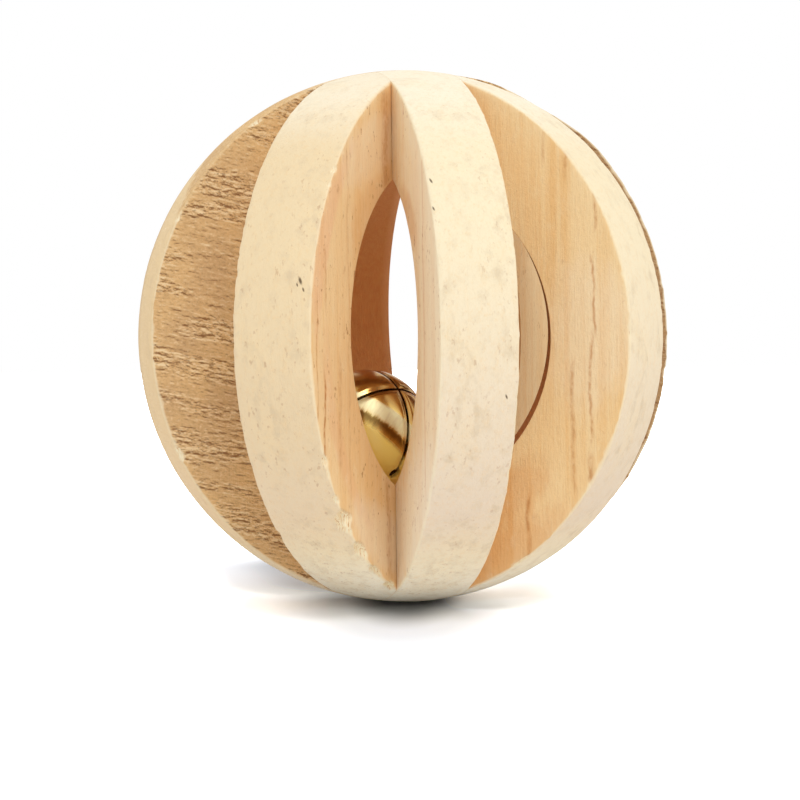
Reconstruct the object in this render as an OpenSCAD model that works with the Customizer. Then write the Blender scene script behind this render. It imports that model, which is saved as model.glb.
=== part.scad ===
// Turned wooden ball made of crossing rings, with a loose jingle bell inside.
// One board ring runs right round through both poles. Two half-rings butt
// square on its faces, and four more end in points that fill the corners
// between them. The glued lantern was turned to a ball after assembly.
//
// Origin at the ball's centre, +Z up through the poles where all rings meet,
// -Y out of the front window. A heading is an angle round +Z: 0 is -Y, 90 is +X.

/* [Ball] */
// Diameter of the turned ball
ball_d = 60; // [56:1:80]

/* [Boards] */
// Thickness of the board of the full ring
full_ring_t = 8.4; // [6.5:0.1:10.5]
// Thickness of the board of the two square-ended half-rings
square_board_t = 8.3; // [6.5:0.1:10.5]
// Thickness of the board of the front-left and back-right half-rings
left_point_board_t = 9.1; // [6.5:0.1:10.5]
// Thickness of the board of the right and left half-rings
right_point_board_t = 9.5; // [6.5:0.1:10.5]

/* [Headings] */
// Heading of the full ring's left side
full_ring_heading = -66.7; // [-70:0.1:-63]
// Heading of the front-left half-ring
front_left_heading = -20.8; // [-24:0.1:-18]
// Heading of the front-right half-ring
front_right_heading = 20.7; // [18:0.1:24]
// Heading of the right half-ring
right_heading = 67.1; // [64:0.1:70]
// Heading of the back-right half-ring
back_right_heading = 156.4; // [153:0.1:160]
// Heading of the back-left half-ring
back_left_heading = -159.3; // [-162:0.1:-156]
// Heading of the left half-ring
left_heading = -112.9; // [-116:0.1:-110]

/* [Hole of the full ring] */
// Diameter of the hole through the full ring
full_ring_hole_d = 39; // [36:0.2:42]
// How far this hole sits off the ball's axis, to its left side
full_ring_hole_out = 0.3; // [-1:0.1:1]
// How far this hole sits above the ball's centre
full_ring_hole_lift = 0.3; // [-1:0.1:1]

/* [Holes of the half-rings] */
// Diameter of the holes in the four half-rings at the front and back
hole_d = 37.4; // [34:0.2:41]
// Diameter of the holes in the right and left half-rings
side_hole_d = 34.8; // [33:0.2:38]
// How far the centres of the front and back holes sit out from the axis
hole_out = 2.4; // [1:0.1:3.4]
// How far the centres of the right and left holes sit out from the axis
side_hole_out = 3; // [2:0.1:4.5]
// How far the centre of the back-left hole sits out from the axis
back_left_hole_out = 4; // [1:0.1:4.5]
// How far the front-left hole sits above the ball's centre
front_left_hole_lift = 0.3; // [-1.5:0.1:1.5]
// How far the front-right hole sits above the ball's centre
front_right_hole_lift = 0.5; // [-1.5:0.1:1.5]
// How far the right hole sits above the ball's centre
right_hole_lift = -0.2; // [-1.5:0.1:1.5]
// How far the back-left hole sits above the ball's centre
back_left_hole_lift = 2.8; // [-3:0.1:3]

/* [Bell shell] */
// Outer diameter of the bell
bell_d = 13.5; // [11:0.5:15]
// Thickness of the sheet brass
bell_wall = 0.5; // [0.3:0.05:0.8]
// Width of the slits where they cross
slit_mid_w = 0.3; // [0.2:0.05:0.6]
// Width of the slits at their end holes
slit_end_w = 0.4; // [0.3:0.05:0.8]
// Angle from the crossing to each end hole
slit_reach = 88; // [70:1:89]
// Diameter of the end holes
slit_hole_d = 1.4; // [1:0.1:2]

/* [Bell loop] */
// Diameter of the loop's wire
loop_wire_d = 0.8; // [0.5:0.1:1]
// Clear width inside the loop
loop_inner_w = 1.6; // [1.2:0.1:2.2]
// Height of the loop above the shell
loop_rise = 2; // [1.8:0.1:2.6]
// Length of each clinched tail past its bend
loop_tail = 0.6; // [0.3:0.1:1]

/* [Pellet] */
// Diameter of the loose steel pellet
pellet_d = 3.6; // [2.5:0.1:4.5]

/* [How the bell lies] */
// Heading towards which the bell has rolled
bell_lie_heading = -29.1; // [-36:0.1:-22]
// Angle of the bell's centre from straight down
bell_lie_lean = 34.6; // [24:0.1:38]
// Heading that the slits' crossing points to
cross_heading = 53.1; // [45:0.1:62]
// Angle of the crossing above level
cross_rise = 44.3; // [38:0.1:52]
// Turn of the slits round the bell's own axis
cross_turn = -6.4; // [-20:0.1:20]

/* [Clearances] */
// Gap between the bell and the rings that it lies on
bell_gap = 0.21; // [0.05:0.01:0.4]
// Gap round the loop's legs in their holes
leg_gap = 0.05; // [0.02:0.01:0.15]
// Gap between the pellet and the shell
pellet_gap = 0.1; // [0.05:0.01:0.3]

/* [Hidden] */

ball_fn = 144;
hole_fn = 144;
bell_fn = 72;
wire_fn = 24;

face_wood = [0.88, 0.69, 0.46];
pale_wood = [0.95, 0.86, 0.70];
sawn_wood = [0.77, 0.61, 0.43];
brass = [0.80, 0.62, 0.28];
steel = [0.62, 0.62, 0.64];

// Cutting solids reach past the ball by this much on every side
past = 1;
ball_r = ball_d / 2;
reach = ball_r + past;

bell_r = bell_d / 2;
bell_inner_r = bell_r - bell_wall;
loop_r = (loop_inner_w + loop_wire_d) / 2;
loop_outer_r = loop_r + loop_wire_d / 2;
// Distance from the bell's centre to the centre of the loop's arch
arch_d = bell_r + loop_rise - loop_outer_r;
// The legs bend outwards inside the shell, and the tails end just off its wall
tail_bend_r = 0.7 * loop_wire_d;
tail_end = loop_r + tail_bend_r + loop_tail;
tail_d = sqrt(pow(bell_inner_r, 2) - pow(tail_end, 2)) - loop_wire_d / 2 - leg_gap;

// A hole is [diameter, distance out from the axis, height above the centre]
full_ring_hole = [full_ring_hole_d, full_ring_hole_out, full_ring_hole_lift];
front_left_hole = [hole_d, hole_out, front_left_hole_lift];

// The bell's centre lies at bell_lie_d from the ball's centre, as far out as
// the rings under its body and the full ring under its loop allow
bell_lie_d = min(
    lie_distance(full_ring_heading, full_ring_hole, bell_r, 0),
    lie_distance(front_left_heading, front_left_hole, bell_r, 0),
    lie_distance(full_ring_heading, full_ring_hole, loop_outer_r, arch_d)
);
bell_pos = bell_lie_d * down_slope(bell_lie_heading, bell_lie_lean);

// Unit vector that points down, leaning towards a heading
function down_slope(heading, lean) =
    [sin(lean) * sin(heading), -sin(lean) * cos(heading), -cos(lean)];

// How far out along its slope the bell can lie before a round of radius r,
// carried at "back" behind its centre, is bell_gap from the hole of one ring
function lie_distance(ring_heading, hole, r, back) =
    let (
        free = hole[0] / 2 - r - bell_gap,
        slope = [
            sin(bell_lie_lean) * cos(bell_lie_heading - ring_heading),
            -cos(bell_lie_lean)
        ],
        carried = [
            back * cos(cross_rise) * cos(cross_heading - ring_heading) + hole[1],
            back * sin(cross_rise) + hole[2]
        ],
        along = slope * carried
    )
    (along + sqrt(pow(along, 2) - (slope * slope) * (carried * carried - free * free)))
        / (slope * slope);

// Solid ball that the finished lantern was turned to
module turned_ball() {
    sphere(d = ball_d, $fn = ball_fn);
}

// Board through both poles, on both sides of the axis
module whole_board(heading, t) {
    rotate([0, 0, heading])
        cube([t, 2 * reach, 2 * reach], center = true);
}

// The half of a board on the heading's side of the axis
module half_board(heading, t) {
    rotate([0, 0, heading])
        translate([-t / 2, -reach, -reach])
            cube([t, reach, 2 * reach]);
}

// Hole sawn square through a board, given as the functions above take it
module sawn_hole(heading, t, hole) {
    rotate([0, 0, heading])
        translate([0, -hole[1], hole[2]])
            rotate([0, 90, 0])
                cylinder(h = t + 2 * past, d = hole[0], center = true, $fn = hole_fn);
}

// Half-ring whose ends are cut back by the boards given as children
module half_ring(heading, t, hole) {
    difference() {
        intersection() {
            turned_ball();
            half_board(heading, t);
        }
        sawn_hole(heading, t, hole);
        children();
    }
}

// Half-ring that butts square on the full ring
module square_half_ring(heading, hole) {
    half_ring(heading, square_board_t, hole)
        whole_board(full_ring_heading, full_ring_t);
}

// Half-ring with pointed ends that fill a corner between the full ring and a
// square half-ring
module pointed_half_ring(heading, t, hole, corner_heading) {
    half_ring(heading, t, hole) {
        whole_board(full_ring_heading, full_ring_t);
        half_board(corner_heading, square_board_t);
    }
}

module full_ring() {
    color(sawn_wood)
        difference() {
            intersection() {
                turned_ball();
                whole_board(full_ring_heading, full_ring_t);
            }
            sawn_hole(full_ring_heading, full_ring_t, full_ring_hole);
        }
}

module front_right_half_ring() {
    color(pale_wood)
        square_half_ring(front_right_heading, [hole_d, hole_out, front_right_hole_lift]);
}

module back_left_half_ring() {
    color(face_wood)
        square_half_ring(
            back_left_heading,
            [hole_d, back_left_hole_out, back_left_hole_lift]
        );
}

module front_left_half_ring() {
    color(pale_wood)
        pointed_half_ring(
            front_left_heading,
            left_point_board_t,
            front_left_hole,
            front_right_heading
        );
}

module right_half_ring() {
    color(face_wood)
        pointed_half_ring(
            right_heading,
            right_point_board_t,
            [side_hole_d, side_hole_out, right_hole_lift],
            front_right_heading
        );
}

module back_right_half_ring() {
    color(face_wood)
        pointed_half_ring(
            back_right_heading,
            left_point_board_t,
            [hole_d, hole_out, 0],
            back_left_heading
        );
}

module left_half_ring() {
    color(face_wood)
        pointed_half_ring(
            left_heading,
            right_point_board_t,
            [side_hole_d, side_hole_out, 0],
            back_left_heading
        );
}

// Carries what is drawn in the bell's own frame, where +Z leaves the bell
// through the crossing of its slits, to the place where the bell lies
module place_bell() {
    translate(bell_pos)
        rotate([0, 0, cross_heading - 90])
            rotate([0, 90 - cross_rise, 0])
                rotate([0, 0, cross_turn])
                    children();
}

// One slit right over the crossing, widening towards its end holes
module slit() {
    hole_x = bell_r * sin(slit_reach);
    end_x = bell_r + past;
    end_w = slit_mid_w + (slit_end_w - slit_mid_w) * end_x / hole_x;
    end_z = bell_inner_r * cos(slit_reach);
    translate([0, 0, end_z])
        linear_extrude(height = bell_r - end_z + past)
            polygon([
                [-end_x, -end_w / 2],
                [0, -slit_mid_w / 2],
                [end_x, -end_w / 2],
                [end_x, end_w / 2],
                [0, slit_mid_w / 2],
                [-end_x, end_w / 2]
            ]);
    for (side = [-1, 1])
        rotate([0, side * slit_reach, 0])
            cylinder(h = bell_r + past, d = slit_hole_d, $fn = wire_fn);
}

module bell_shell() {
    color(brass)
        place_bell()
            difference() {
                sphere(d = bell_d, $fn = bell_fn);
                sphere(r = bell_inner_r, $fn = bell_fn);
                slit();
                rotate([0, 0, 90])
                    slit();
                for (side = [-1, 1])
                    translate([0, side * loop_r, -bell_r - past])
                        cylinder(
                            h = bell_r,
                            d = loop_wire_d + 2 * leg_gap,
                            $fn = wire_fn
                        );
            }
}

// Wire arch behind the crossing, with two legs clinched inside the shell
module bell_loop() {
    color(brass)
        place_bell()
            rotate([0, 0, 90]) {
                translate([0, 0, -arch_d])
                    bent_wire(loop_r, 180, 180);
                for (side = [0, 180])
                    rotate([0, 0, side])
                        loop_leg();
            }
}

// Half or quarter turn of wire in the X-Z plane
module bent_wire(bend_r, from, turn) {
    rotate([90, 0, 0])
        rotate_extrude(angle = turn, start = from, $fn = 2 * wire_fn)
            translate([bend_r, 0])
                circle(d = loop_wire_d, $fn = wire_fn);
}

// One leg of the loop with its clinched tail, on the +X side
module loop_leg() {
    bend_z = -tail_d - tail_bend_r;
    translate([loop_r, 0, -arch_d])
        cylinder(h = arch_d + bend_z, d = loop_wire_d, $fn = wire_fn);
    translate([loop_r + tail_bend_r, 0, bend_z])
        bent_wire(tail_bend_r, 90, 90);
    translate([loop_r + tail_bend_r, 0, -tail_d])
        rotate([0, 90, 0])
            cylinder(h = loop_tail, d = loop_wire_d, $fn = wire_fn);
}

module bell_pellet() {
    color(steel)
        translate(bell_pos - [0, 0, bell_inner_r - pellet_d / 2 - pellet_gap])
            sphere(d = pellet_d, $fn = bell_fn);
}

full_ring();
front_right_half_ring();
back_left_half_ring();
front_left_half_ring();
right_half_ring();
back_right_half_ring();
left_half_ring();
bell_shell();
bell_loop();
bell_pellet();
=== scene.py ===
"""Dresses the slatted wooden ball: worn, sawn boards, a polished jingle bell and a plain studio."""

import math
from typing import NamedTuple

import bpy
import numpy as np
from mathutils import Matrix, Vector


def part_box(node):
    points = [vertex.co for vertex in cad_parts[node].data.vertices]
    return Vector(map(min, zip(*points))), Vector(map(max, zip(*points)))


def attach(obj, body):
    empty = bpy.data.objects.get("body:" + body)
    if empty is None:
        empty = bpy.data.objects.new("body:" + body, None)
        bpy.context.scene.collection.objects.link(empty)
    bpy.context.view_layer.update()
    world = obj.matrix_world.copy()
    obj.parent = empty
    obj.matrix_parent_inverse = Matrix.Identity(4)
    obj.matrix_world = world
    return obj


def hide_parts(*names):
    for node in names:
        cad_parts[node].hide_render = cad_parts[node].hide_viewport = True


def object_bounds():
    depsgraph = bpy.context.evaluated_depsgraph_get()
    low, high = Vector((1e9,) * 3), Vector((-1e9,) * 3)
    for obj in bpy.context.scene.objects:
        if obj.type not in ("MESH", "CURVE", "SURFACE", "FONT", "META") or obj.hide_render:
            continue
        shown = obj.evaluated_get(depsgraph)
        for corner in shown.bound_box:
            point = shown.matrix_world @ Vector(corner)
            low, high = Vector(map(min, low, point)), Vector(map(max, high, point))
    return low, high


bl_info = {
    "name": "Slatted Rattle Ball",
    "version": (1, 0, 0),
    "blender": (4, 5, 0),
    "location": "3D View > Sidebar > Rattle Ball",
    "description": "Turned ball of crossing board rings with a loose jingle bell inside",
    "category": "Object",
}

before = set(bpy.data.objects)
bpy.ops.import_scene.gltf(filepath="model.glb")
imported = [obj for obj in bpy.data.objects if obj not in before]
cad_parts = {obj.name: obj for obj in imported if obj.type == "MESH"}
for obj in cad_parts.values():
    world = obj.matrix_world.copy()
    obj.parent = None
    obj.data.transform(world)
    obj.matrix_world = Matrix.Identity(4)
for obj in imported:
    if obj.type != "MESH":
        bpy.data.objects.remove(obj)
CAD_BOX = [list(corner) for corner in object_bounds()]
MM = 0.001


def srgb(red, green, blue):
    """Linear colour of a shade that is given as it shows on a screen, from 0 to 255."""
    shade = np.array([red, green, blue]) / 255
    low = shade / 12.92
    high = ((shade + 0.055) / 1.055) ** 2.4
    return tuple(float(v) for v in np.where(shade <= 0.04045, low, high))


def length_value(name, description, default_mm):
    """A size in metres, given in millimetres."""
    return bpy.props.FloatProperty(
        name=name, description=description, default=default_mm * MM, unit="LENGTH", precision=5
    )


def angle_value(name, description, default_deg):
    """An angle in radians, given in degrees."""
    return bpy.props.FloatProperty(
        name=name, description=description, default=math.radians(default_deg), unit="ROTATION"
    )


def plain_value(name, description, default):
    """A number without a unit."""
    return bpy.props.FloatProperty(name=name, description=description, default=default)


def colour_value(name, description, shade):
    """A colour, given as it shows on a screen."""
    return bpy.props.FloatVectorProperty(
        name=name, description=description, default=srgb(*shade), subtype="COLOR", size=3,
        min=0, max=1,
    )


class BallSizes(bpy.types.PropertyGroup):
    """Sizes of the rings, as the frame has them."""

    ball_d: length_value("Ball", "Diameter of the turned ball", 60)
    full_ring_t: length_value("Full ring", "Thickness of the full ring's board", 8.4)
    square_board_t: length_value("Square boards", "Thickness of the square-ended boards", 8.3)
    left_point_board_t: length_value("Left points", "Thickness of two pointed boards", 9.1)
    right_point_board_t: length_value("Right points", "Thickness of the other two", 9.5)
    full_ring_heading: angle_value("Full ring", "Heading of the full ring's left side", -66.7)
    front_left_heading: angle_value("Front left", "Heading of this half-ring", -20.8)
    front_right_heading: angle_value("Front right", "Heading of this half-ring", 20.7)
    right_heading: angle_value("Right", "Heading of this half-ring", 67.1)
    back_right_heading: angle_value("Back right", "Heading of this half-ring", 156.4)
    back_left_heading: angle_value("Back left", "Heading of this half-ring", -159.3)
    left_heading: angle_value("Left", "Heading of this half-ring", -112.9)
    full_ring_hole_d: length_value("Full ring's hole", "Diameter of its hole", 39)
    full_ring_hole_out: length_value("Off axis", "Shift of the full ring's hole", 0.3)
    full_ring_hole_lift: length_value("Lift", "Height of the full ring's hole", 0.3)
    hole_d: length_value("Holes", "Diameter of the front and back holes", 37.4)
    side_hole_d: length_value("Side holes", "Diameter of the right and left holes", 34.8)
    hole_out: length_value("Out", "Distance of the front and back holes from the axis", 2.4)
    side_hole_out: length_value("Side out", "Distance of the side holes from the axis", 3)
    back_left_hole_out: length_value("Back left out", "Distance of this hole", 4)
    front_left_hole_lift: length_value("Front left lift", "Height of this hole", 0.3)
    front_right_hole_lift: length_value("Front right lift", "Height of this hole", 0.5)
    right_hole_lift: length_value("Right lift", "Height of this hole", -0.2)
    back_left_hole_lift: length_value("Back left lift", "Height of this hole", 2.8)
    arris_r: length_value("Arris", "Rounding of the outer arrises", 0.28)
    hole_arris_r: length_value("Hole arris", "Rounding of the arrises at the holes", 0.12)


class WoodLooks(bpy.types.PropertyGroup):
    """Colours of the bare softwood."""

    rim_pale: colour_value("Rim", "Sanded outer surface, upper half", (250, 236, 202))
    # Painted shade: the rim darker in its lower half, as the light comes from above
    rim_low: colour_value("Low rim", "Sanded outer surface, lower half", (240, 222, 200))
    # Painted light: the rim paler near the poles and at the very bottom, and pale patches laid on faces
    # that lie in shade
    painted_light: colour_value("Rim painted light", "Outer surface near the poles", (255, 250, 236))
    rim_warm: colour_value("Warm rim", "Sanded surface of the warmest board", (236, 210, 166))
    rim_grey: colour_value("Grey rim", "Hand-worn patches of the rim", (212, 190, 158))
    face: colour_value("Face", "Sawn flat faces", (250, 225, 176))
    face_dark: colour_value("Grain", "Growth layers on the faces", (241, 200, 138))
    face_warm: colour_value("Warm face", "Face of the warmest board", (238, 190, 134))
    # Painted shade: darker orange laid on the faces towards the axis, where the boards meet
    face_inner: colour_value("Inner face", "Faces where two boards meet", (222, 162, 100))
    wall: colour_value("Hole wall", "Inside of the sawn holes", (240, 206, 152))
    wall_dark: colour_value("Burnt wall", "Hole wall of the darkest board", (214, 132, 72))
    rough: colour_value("Rough face", "Torn face of the full ring", (208, 170, 122))
    # Painted shade: the dark of shaded hollows in the torn face, also laid on the full ring's far edge,
    # its rim's outer side and the upper part of its hole wall
    groove_shade: colour_value("Groove", "Bottom of the torn grooves", (136, 94, 56))
    # Pale standing fibres, also used as painted light on the lit side of the torn fibres
    splinter_and_light: colour_value("Splinter", "Standing fibres", (244, 218, 174))
    pink: colour_value("Pink patch", "Pinkish heartwood beside an arris", (240, 188, 144))
    resin: colour_value("Resin", "Resin specks", (160, 98, 50))
    streak: colour_value("Streak", "Resin streaks in the grain", (188, 120, 58))
    speck: colour_value("Speck", "Dirt specks and pinholes", (92, 70, 44))


class BellSizes(bpy.types.PropertyGroup):
    """Sizes of the bell, as the frame has them."""

    bell_d: length_value("Bell", "Outer diameter of the bell", 13.5)
    wall: length_value("Wall", "Thickness of the sheet brass", 0.5)
    slit_mid_w: length_value("Slit, middle", "Width of the slits where they cross", 0.3)
    slit_end_w: length_value("Slit, end", "Width of the slits at their end holes", 0.4)
    slit_hole_d: length_value("End holes", "Diameter of the end holes", 1.4)
    slit_reach: angle_value("Reach", "Angle from the crossing to each end hole", 88)
    cross_heading: angle_value("Heading", "Heading that the crossing points to", 53.1)
    cross_rise: angle_value("Rise", "Angle of the crossing above level", 44.3)
    cross_turn: angle_value("Turn", "Turn of the slits round the bell's axis", -6.4)


class MetalLooks(bpy.types.PropertyGroup):
    """Colours of the bell's metals."""

    brass: colour_value("Brass", "Polished brass", (234, 196, 112))
    # Tarnish in brown clouds, and also the painted reflection of brown wood above the bell's pale band
    tarnish_and_reflection: colour_value("Tarnish", "Browned brass", (172, 122, 72))
    # Painted reflection: a dark line below the bell's pale band
    dark_reflection: colour_value("Dark reflection line", "Dark line below the scuffed band", (96, 62, 28))
    # Painted reflection: the pale band across the bell's shell
    band_reflection: colour_value("Reflection band", "Pale scuffed brass", (252, 246, 200))
    # Painted reflection: lighter, less metallic brass below the band
    bright: colour_value("Bright brass", "Clean brass below the band", (255, 226, 122))
    steel: colour_value("Steel", "The pellet's steel", (170, 170, 174))
    rust: colour_value("Rust", "Small spots on the pellet", (140, 110, 84))


class StudioSettings(bpy.types.PropertyGroup):
    """Camera, lamps and floor."""

    camera_heading: angle_value("Heading", "Heading from which the camera looks", 5.85)
    camera_distance: length_value("Distance", "From the camera to the ball's centre", 222)
    camera_roll: angle_value("Roll", "Lean of the ball in the picture, to the left", 0.65)
    lens: plain_value("Lens", "Focal length in millimetres", 87.73)
    shift_x: plain_value("Shift X", "Sideways shift of the frame", -0.00475)
    shift_y: plain_value("Shift Y", "Upward shift of the frame", -0.08025)
    dome: plain_value("Dome", "Strength of the light from all round", 0.85)
    key: plain_value("Key", "Strength of the wide lamp at the upper right", 0.85)
    key_heading: angle_value("Key heading", "Heading that the key lamp stands at", 30)
    key_rise: angle_value("Key rise", "Height of the key lamp above level", 55)
    key_angle: angle_value("Key width", "How wide the key lamp shows in the sky", 25)
    floor_gain: plain_value("Floor", "Brightness of the floor as the camera sees it", 2.6)


SETTINGS = {
    "rattle_sizes": BallSizes,
    "rattle_wood": WoodLooks,
    "rattle_bell": BellSizes,
    "rattle_metal": MetalLooks,
    "rattle_studio": StudioSettings,
}


# ---------------------------------------------------------------- numbers


# Odd factors that mix a cell's whole numbers and its seed into one value, of which the
# lowest 32 bits are kept
CELL_FACTORS = (73856093, 19349663, 83492791)
SEED_FACTOR = 2654435761
MIX_FACTOR = np.uint64(2246822519)
LOW_BITS = np.uint64(2**32 - 1)


def smooth(low, high, x):
    """0 below low, 1 above high, and 3t^2 - 2t^3 between them."""
    t = np.clip((x - low) / (high - low), 0, 1)
    return t * t * (3 - 2 * t)


def lattice(cell, seed):
    """A repeatable value from 0 to 1 for each whole-number cell, mixed from its coordinates."""
    mixed = np.full(cell.shape[:-1], seed * SEED_FACTOR % 2**32, np.uint64)
    for axis, factor in enumerate(CELL_FACTORS):
        mixed ^= (cell[..., axis] & int(LOW_BITS)).astype(np.uint64) * np.uint64(factor)
        mixed &= LOW_BITS
        mixed = (mixed ^ (mixed >> np.uint64(15))) * MIX_FACTOR
        mixed &= LOW_BITS
    mixed ^= mixed >> np.uint64(13)
    return mixed.astype(float) / 2**32


def noise(x, y, z, seed):
    """Smooth noise from -1 to 1: lattice values at the eight corners of each unit
    cell, blended by 3t^2 - 2t^3 along each axis."""
    points = np.stack(np.broadcast_arrays(x, y, z), -1).astype(float)
    base = np.floor(points).astype(np.int64)
    t = points - base
    t = t * t * (3 - 2 * t)
    total = np.zeros(points.shape[:-1])
    for corner in range(8):
        bits = np.array([corner & 1, corner >> 1 & 1, corner >> 2 & 1])
        weight = np.prod(np.where(bits == 1, t, 1 - t), axis=-1)
        total += weight * lattice(base + bits, seed)
    return 2 * total - 1


def polar(heading):
    """Unit vectors out along a heading and across its board."""
    out = np.array([math.sin(heading), -math.cos(heading), 0])
    across = np.array([math.cos(heading), math.sin(heading), 0])
    return out, across


# ---------------------------------------------------------------- boards


class Board:
    """One board on edge through both poles, in millimetres: where it points, how it is
    holed and which boards it meets. It runs along u, its heading, and n is across it."""

    def __init__(self, heading, thickness, hole_d, hole_out, hole_lift):
        self.heading = heading
        self.half_t = thickness / 2
        self.hole_r = hole_d / 2
        self.hole_out = hole_out
        self.hole_lift = hole_lift
        self.out, self.across = polar(heading)
        self.cut_by = []
        self.cuts = []

    @property
    def whole(self):
        """Whether the board runs right round, because no other board cuts it."""
        return not self.cut_by

    def meets(self, other, w, h):
        """How far out this board, at w across it, meets the plane h across the other one.
        On that plane w n.m + out u.m = h, so out is (h - w n.m) / (u.m)."""
        return (h - w * (self.across @ other.across)) / (self.out @ other.across)

    def ends(self, w):
        """How far out the face of each board that cuts this one lies, at w across it."""
        return [
            self.meets(other, w, math.copysign(other.half_t, self.out @ other.across))
            for other in self.cut_by
        ]

    def end_at(self, w):
        """How far out along the heading the board's end lies, at w across it."""
        return np.maximum.reduce(self.ends(w))

    def corner(self):
        """Where across the board its two end faces meet. The gap g between them changes
        evenly with w, so it closes at g(0) / (g(0) - g(1))."""
        at_0, at_1 = [np.subtract(*self.ends(w)) for w in (0, 1)]
        return at_0 / (at_0 - at_1)

    def covered_to(self, side):
        """How far out the ends of other boards cover one face of this board, -1 or 1. A
        whole board's face is covered on both sides of the axis."""
        reach = 0.0
        for other in self.cuts:
            if np.sign(other.out @ self.across) != side:
                continue
            for h in (-other.half_t, other.half_t):
                end = self.meets(other, side * self.half_t, h)
                reach = max(reach, abs(end) if self.whole else end)
        return reach


def make_boards(sizes):
    """The seven boards. The full ring cuts all the others, and each square-ended board
    cuts the two pointed ones beside it."""
    s = sizes
    front_hole = (s.hole_d, s.hole_out)
    side_hole = (s.side_hole_d, s.side_hole_out)
    plans = {
        "full_ring": (
            s.full_ring_heading, s.full_ring_t, s.full_ring_hole_d, s.full_ring_hole_out,
            s.full_ring_hole_lift,
        ),
        "front_right_half_ring": (
            s.front_right_heading, s.square_board_t, *front_hole, s.front_right_hole_lift
        ),
        "back_left_half_ring": (
            s.back_left_heading, s.square_board_t, s.hole_d, s.back_left_hole_out,
            s.back_left_hole_lift,
        ),
        "front_left_half_ring": (
            s.front_left_heading, s.left_point_board_t, *front_hole, s.front_left_hole_lift
        ),
        "right_half_ring": (
            s.right_heading, s.right_point_board_t, *side_hole, s.right_hole_lift
        ),
        "back_right_half_ring": (s.back_right_heading, s.left_point_board_t, *front_hole, 0),
        "left_half_ring": (s.left_heading, s.right_point_board_t, *side_hole, 0),
    }
    boards = {
        name: Board(heading, *[length / MM for length in lengths])
        for name, (heading, *lengths) in plans.items()
    }
    cuts = {
        "full_ring": list(boards)[1:],
        "front_right_half_ring": ["front_left_half_ring", "right_half_ring"],
        "back_left_half_ring": ["back_right_half_ring", "left_half_ring"],
    }
    for cutter, names in cuts.items():
        for name in names:
            boards[name].cut_by.append(boards[cutter])
            boards[cutter].cuts.append(boards[name])
    return boards


class Grid(NamedTuple):
    """How many places a ring is sampled at: across its rim and wall, along its faces,
    round its arrises and along the ring, and at the poles of a whole one."""

    rim: int
    face: int
    arris: int
    along: int
    poles: int = 0

    @property
    def rim_columns(self):
        """Columns of a section that lie on the rim, between its arrises."""
        first = 2 * self.arris + self.face - 1
        return range(first, first + self.rim - 2)

    @property
    def wall_columns(self):
        """Columns of a section that lie on the hole's wall."""
        first = self.rim_columns.stop + 2 * self.arris + self.face - 1
        return range(first, first + self.rim - 2)


HALF_RING_GRID = Grid(rim=34, face=30, arris=4, along=300)
FULL_RING_GRID = Grid(rim=15, face=42, arris=3, along=760, poles=40)

# Share of the half-turn, either way from level, in which the full ring's faces show
FACES_SHOW = 0.39


def full_ring_places(grid):
    """Places round the full ring from -1 to 1, close together where its faces show
    and far apart at the poles, where they are glued."""
    side = np.linspace(-FACES_SHOW, FACES_SHOW, grid.along // 2, endpoint=False)
    pole = np.linspace(FACES_SHOW, 1 - FACES_SHOW, grid.poles // 2, endpoint=False)
    turn = np.concatenate([side, pole, side + 1, pole + 1])
    return np.where(turn > 1, turn - 2, turn)


def section(half_t, depth, outer_r, inner_r, rim_share, grid):
    """One closed line round the board's section, for every place along the ring.
    A point is (w, f): w runs across the board and f from the hole, 0, to the rim, 1.
    It goes out along the -w face, across the rim, in along the +w face and back
    across the hole's wall, with a quarter turn of radius r at each corner. With the
    points come how far each belongs to the rim and to the wall, from 0 to 1."""
    face = np.linspace(0, 1, grid.face, endpoint=False)[1:]
    turn = np.linspace(0, math.pi / 2, grid.arris)
    left, right = outer_r
    ones = np.ones_like(depth)
    parts = []

    def add(w, f, rim, wall):
        parts.append(np.stack(np.broadcast_arrays(w, f, rim, wall)))

    def arris(side, end, radius, angle):
        w = side * (half_t - radius + radius * np.cos(angle))
        reach = radius / depth * (1 - np.sin(angle))
        zone = np.sin(angle) ** 2
        add(w, 1 - reach if end else reach, zone * end, zone * (1 - end))

    low = inner_r / depth
    arris(-1, 0, inner_r * ones, turn[::-1])
    add(-half_t * ones, low + (1 - left / depth - low) * face, 0, 0)
    arris(-1, 1, left, turn)
    add(-half_t + left + (2 * half_t - left - right) * rim_share, ones, 1, 0)
    arris(1, 1, right, turn[::-1])
    high = 1 - right / depth
    add(half_t * ones, high + (low - high) * face, 0, 0)
    arris(1, 0, inner_r * ones, turn)
    inner_w = half_t - inner_r
    add(inner_w * ones - 2 * inner_w * rim_share, 0, 0, 1)
    return np.concatenate(parts, 2)


def ring_points(board, ball_r, s, w, f):
    """How far out and how high the points of a ring lie. Along it s runs from -1, at the
    lower end, to 1, at the upper. The rim point is sqrt(R^2 - w^2) (cos a, sin a), the
    hole point is (out + r cos b, lift + r sin b), and f mixes the two. The angles a and b
    are s times their value where the board's end lies, or s times a half turn."""
    rim_r = np.sqrt(ball_r**2 - w**2)
    if board.whole:
        rim_end = hole_end = math.pi
    else:
        end = board.end_at(w)
        rim_end = np.arccos(np.clip(end / rim_r, -1, 1))
        hole_end = np.arccos(np.clip((end - board.hole_out) / board.hole_r, -1, 1))
    rim_a, hole_a = s * rim_end, s * hole_end
    q = (1 - f) * (board.hole_out + board.hole_r * np.cos(hole_a)) + f * rim_r * np.cos(rim_a)
    z = (1 - f) * (board.hole_lift + board.hole_r * np.sin(hole_a)) + f * rim_r * np.sin(rim_a)
    return q, z


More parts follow.
